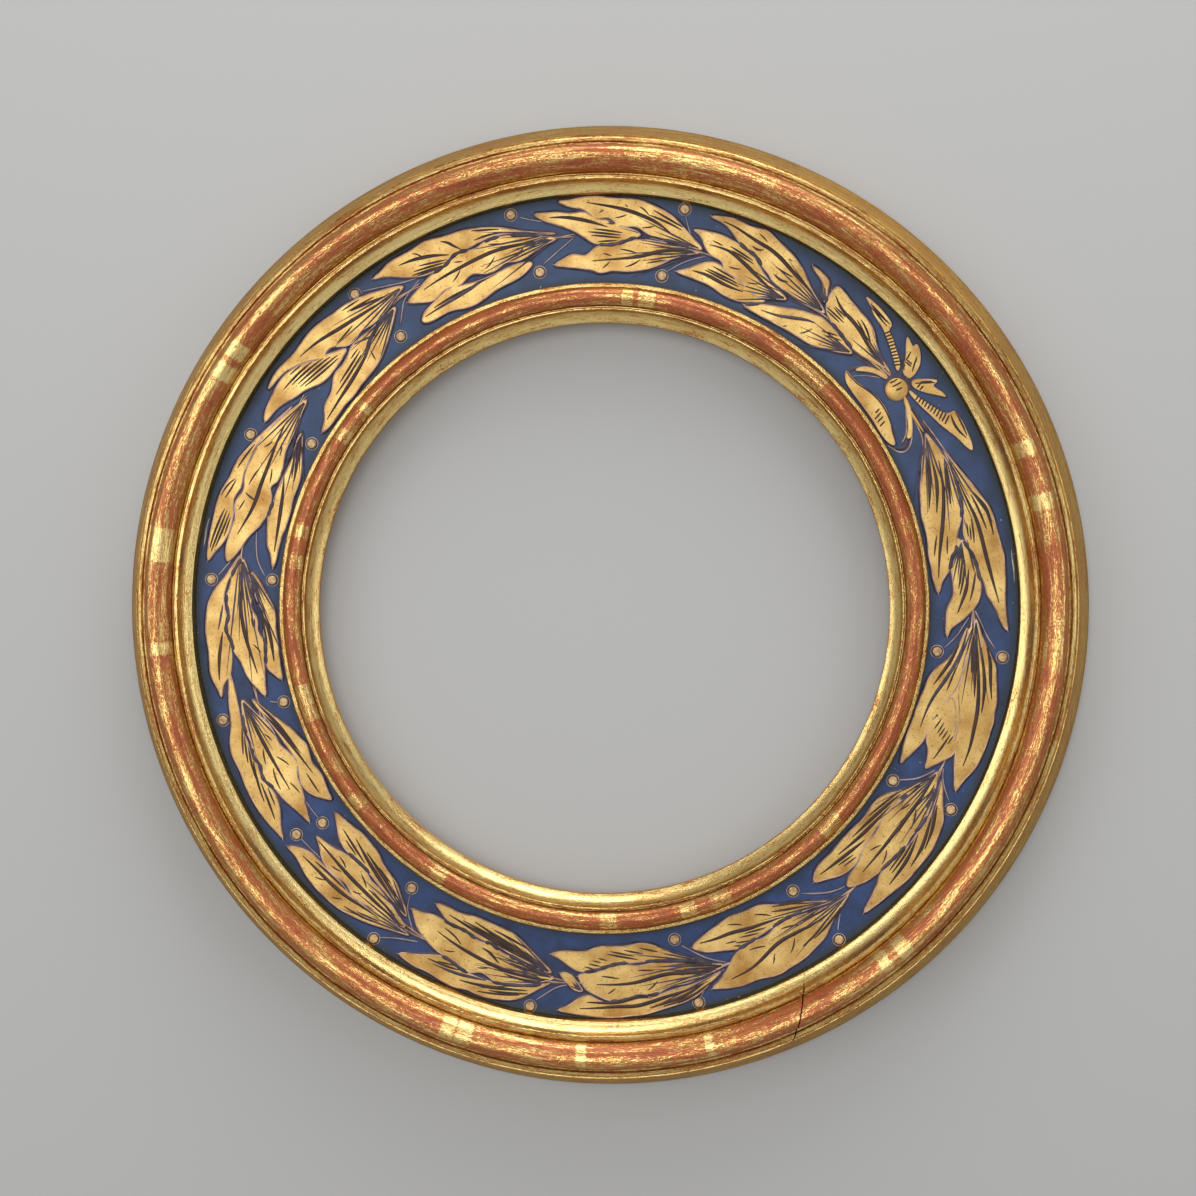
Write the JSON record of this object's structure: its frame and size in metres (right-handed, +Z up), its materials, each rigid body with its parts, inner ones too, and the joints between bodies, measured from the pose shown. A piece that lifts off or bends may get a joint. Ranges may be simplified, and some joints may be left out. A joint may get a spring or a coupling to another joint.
{
  "type": "round picture frame",
  "caption": "Round gilded picture frame with a moulded rim, a blue frieze with a gold laurel garland and bow, a beaded sight edge, and a rebate, ring and turn buttons behind.",
  "frame": {"origin": "centre of the ring on the plane of its back", "axes": "the ring stands upright in XZ as it hangs: +Z up, front towards -Y, back towards +Y"},
  "size_m": [0.5, 0.0391, 0.5],
  "materials": {
    "bare_wood": "bare, aged",
    "outer_gilding": "gold leaf over red bole on gesso, rubbed",
    "sight_gilding": "gold leaf over red bole on gesso, rubbed",
    "blue_paint": "matt tempera on gesso",
    "leaf_gold": "matt gold leaf on gesso relief",
    "brass": "satin",
    "screw_steel": "satin"
  },
  "bodies": {
    "frame": {"carcass_segment_1": "bare_wood", "carcass_segment_2": "bare_wood", "carcass_segment_3": "bare_wood", "carcass_segment_4": "bare_wood", "carcass_segment_5": "bare_wood", "carcass_segment_6": "bare_wood", "spline_keys": "bare_wood", "outer_moulding_segment_1": "outer_gilding", "outer_moulding_segment_2": "outer_gilding", "outer_moulding_segment_3": "outer_gilding", "outer_moulding_segment_4": "outer_gilding", "outer_moulding_segment_5": "outer_gilding", "outer_moulding_segment_6": "outer_gilding", "sight_moulding_segment_1": "sight_gilding", "sight_moulding_segment_2": "sight_gilding", "sight_moulding_segment_3": "sight_gilding", "sight_moulding_segment_4": "sight_gilding", "sight_moulding_segment_5": "sight_gilding", "sight_moulding_segment_6": "sight_gilding", "frieze_ground": "blue_paint", "laurel_branch_left": "leaf_gold", "laurel_branch_right": "leaf_gold", "laurel_berries": "leaf_gold", "ribbon_bow": "leaf_gold", "hanger_strap": "brass", "hanger_screws": "screw_steel", "button_screws": "screw_steel"},
    "hanging_ring": {"d_ring": "brass"},
    "button_1": {"turn_button_1": "brass"},
    "button_2": {"turn_button_2": "brass"},
    "button_3": {"turn_button_3": "brass"},
    "button_4": {"turn_button_4": "brass"}
  },
  "joints": [
    {"name": "ring_swing", "type": "hinge", "parent": "frame", "child": "hanging_ring", "pos_m": [0, 0.0028, 0.206], "axis": [1, 0, 0], "range_deg": [0, 180]},
    {"name": "button_1_turn", "type": "hinge", "parent": "frame", "child": "button_1", "pos_m": [0.11526, 0.0009, 0.11526], "axis": [0, 1, 0], "continuous": true},
    {"name": "button_2_turn", "type": "hinge", "parent": "frame", "child": "button_2", "pos_m": [-0.11526, 0.0009, 0.11526], "axis": [0, 1, 0], "continuous": true},
    {"name": "button_3_turn", "type": "hinge", "parent": "frame", "child": "button_3", "pos_m": [-0.11526, 0.0009, -0.11526], "axis": [0, 1, 0], "continuous": true},
    {"name": "button_4_turn", "type": "hinge", "parent": "frame", "child": "button_4", "pos_m": [0.11526, 0.0009, -0.11526], "axis": [0, 1, 0], "continuous": true}
  ]
}
